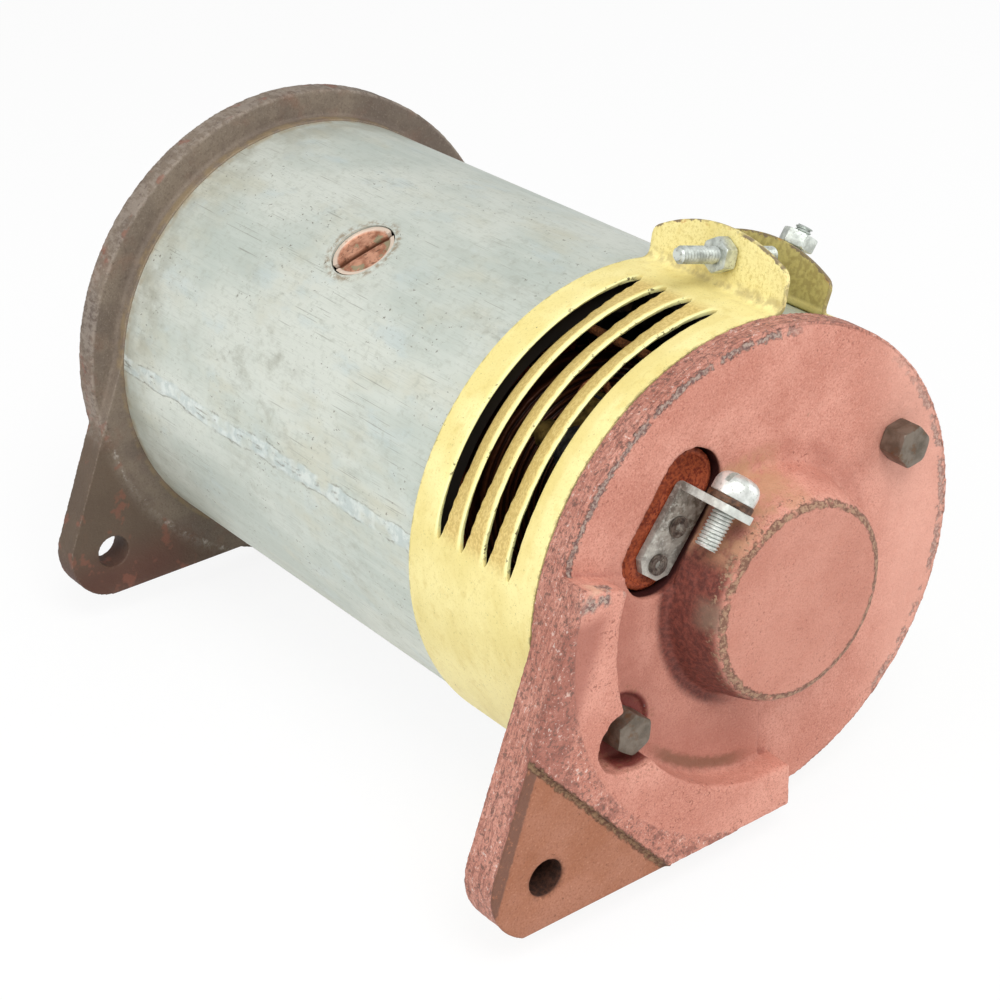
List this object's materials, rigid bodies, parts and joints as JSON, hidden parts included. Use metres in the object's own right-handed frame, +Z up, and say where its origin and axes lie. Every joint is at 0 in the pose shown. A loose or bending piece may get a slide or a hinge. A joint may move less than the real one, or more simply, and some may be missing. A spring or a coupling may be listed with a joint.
{
  "type": "car dynamo",
  "caption": "Belt-driven car dynamo: steel yoke between two iron end bells with pivot lugs, louvred cover band, bare shaft end, turning armature and sprung brushes.",
  "frame": {"origin": "on the shaft axis, at the start of the pulley seat, where the distance collar ends", "axes": "+Y along the shaft out of the drive end, +Z up, +X to the right seen from the commutator end; the pivot lugs point down and to -X"},
  "size_m": [0.1421, 0.2355, 0.1323],
  "materials": {
    "yoke_steel": "dull plated steel with drawing scratches and grey-green patches",
    "red_primer": "worn salmon-red primer over rough cast iron",
    "grey_iron": "bare grey-brown casting with a fine grain and light rust",
    "yellow_band": "pale yellow paint, chipped at the edges",
    "zinc": "bright zinc plate",
    "dark_steel": "dark oily steel",
    "bright_steel": "machined steel",
    "pole_iron": "dark soft iron",
    "rusty_steel": "rusty copper-brown steel",
    "coil_tape": "varnished cotton tape",
    "lead_cotton": "brown woven sleeve",
    "red_fibre": "vulcanised red-brown fibre",
    "brown_washer": "brown oxidised steel",
    "holder_brass": "dull pressed brass",
    "carbon": "grey-black carbon",
    "spring_steel": "blued spring steel",
    "copper_braid": "flexible copper braid",
    "bearing_steel": "ground bearing steel",
    "cage_brass": "pressed brass",
    "felt": "oiled felt",
    "core_iron": "stacked iron laminations",
    "winding_copper": "varnished copper winding",
    "commutator_copper": "burnished copper",
    "moulding": "dark brown moulding"
  },
  "bodies": {
    "housing": {"yoke": "yoke_steel", "commutator_end_bell": "red_primer", "drive_end_bell": "grey_iron", "cover_band": "yellow_band", "clamp_screw": "zinc", "clamp_nuts": "zinc", "through_bolts": "dark_steel", "dowels": "bright_steel", "pole_shoe_1": "pole_iron", "pole_shoe_2": "pole_iron", "pole_screws": "rusty_steel", "field_coil_1": "coil_tape", "field_coil_2": "coil_tape", "coil_link": "lead_cotton", "field_lead_1": "lead_cotton", "field_lead_2": "lead_cotton", "terminal_insulator": "red_fibre", "terminal_bracket": "zinc", "terminal_rivets": "zinc", "terminal_screw": "zinc", "terminal_washer": "brown_washer", "brush_holder_1": "holder_brass", "brush_holder_2": "holder_brass", "holder_screws": "bright_steel", "front_bearing_outer": "bearing_steel", "drive_bearing_outer": "bearing_steel", "bearing_retainer": "dark_steel", "retainer_screws": "dark_steel", "felt_seal": "felt", "dust_cover": "dark_steel"},
    "armature": {"shaft": "bright_steel", "armature_core": "core_iron", "armature_winding": "winding_copper", "core_insulators": "red_fibre", "commutator_bars": "commutator_copper", "commutator_hub": "moulding", "distance_collar": "bright_steel", "front_circlip": "spring_steel", "front_bearing_inner": "bearing_steel", "drive_bearing_inner": "bearing_steel"},
    "front_cage": {"front_bearing_cage": "cage_brass", "front_bearing_balls": "bearing_steel"},
    "drive_cage": {"drive_bearing_cage": "cage_brass", "drive_bearing_balls": "bearing_steel"},
    "brush_1": {"brush_1": "carbon", "brush_lead_1": "copper_braid"},
    "brush_2": {"brush_2": "carbon", "brush_lead_2": "copper_braid"},
    "arm_1": {"brush_arm_1": "holder_brass", "brush_spring_1": "spring_steel"},
    "arm_2": {"brush_arm_2": "holder_brass", "brush_spring_2": "spring_steel"}
  },
  "joints": [
    {"name": "armature_spin", "type": "hinge", "parent": "housing", "child": "armature", "pos_m": [0, 0, 0], "axis": [0, 1, 0], "continuous": true},
    {"name": "front_cage_spin", "type": "hinge", "parent": "housing", "child": "front_cage", "pos_m": [0, -0.191, 0], "axis": [0, 1, 0], "continuous": true},
    {"name": "drive_cage_spin", "type": "hinge", "parent": "housing", "child": "drive_cage", "pos_m": [0, -0.014, 0], "axis": [0, 1, 0], "continuous": true},
    {"name": "brush_1_slide", "type": "slide", "parent": "housing", "child": "brush_1", "axis": [-0.454, 0, 0.891], "range_m": [0, 0.004], "stiffness_N_per_m": 300, "springref_m": -0.02},
    {"name": "brush_2_slide", "type": "slide", "parent": "housing", "child": "brush_2", "axis": [0.454, 0, -0.891], "range_m": [0, 0.004], "stiffness_N_per_m": 300, "springref_m": -0.02},
    {"name": "arm_1_swing", "type": "hinge", "parent": "housing", "child": "arm_1", "pos_m": [-0.02922, -0.1585, 0.0309], "axis": [0, -1, 0], "range_deg": [0, 19.2]},
    {"name": "arm_2_swing", "type": "hinge", "parent": "housing", "child": "arm_2", "pos_m": [0.02922, -0.1585, -0.0309], "axis": [0, -1, 0], "range_deg": [0, 19.2]}
  ],
  "couplings": [
    {"joint": "front_cage_spin", "follows": "armature_spin", "ratio": 0.382},
    {"joint": "drive_cage_spin", "follows": "armature_spin", "ratio": 0.3656},
    {"joint": "arm_1_swing", "follows": "brush_1_slide", "rad_per_m": 83.333},
    {"joint": "arm_2_swing", "follows": "brush_2_slide", "rad_per_m": 83.333}
  ]
}
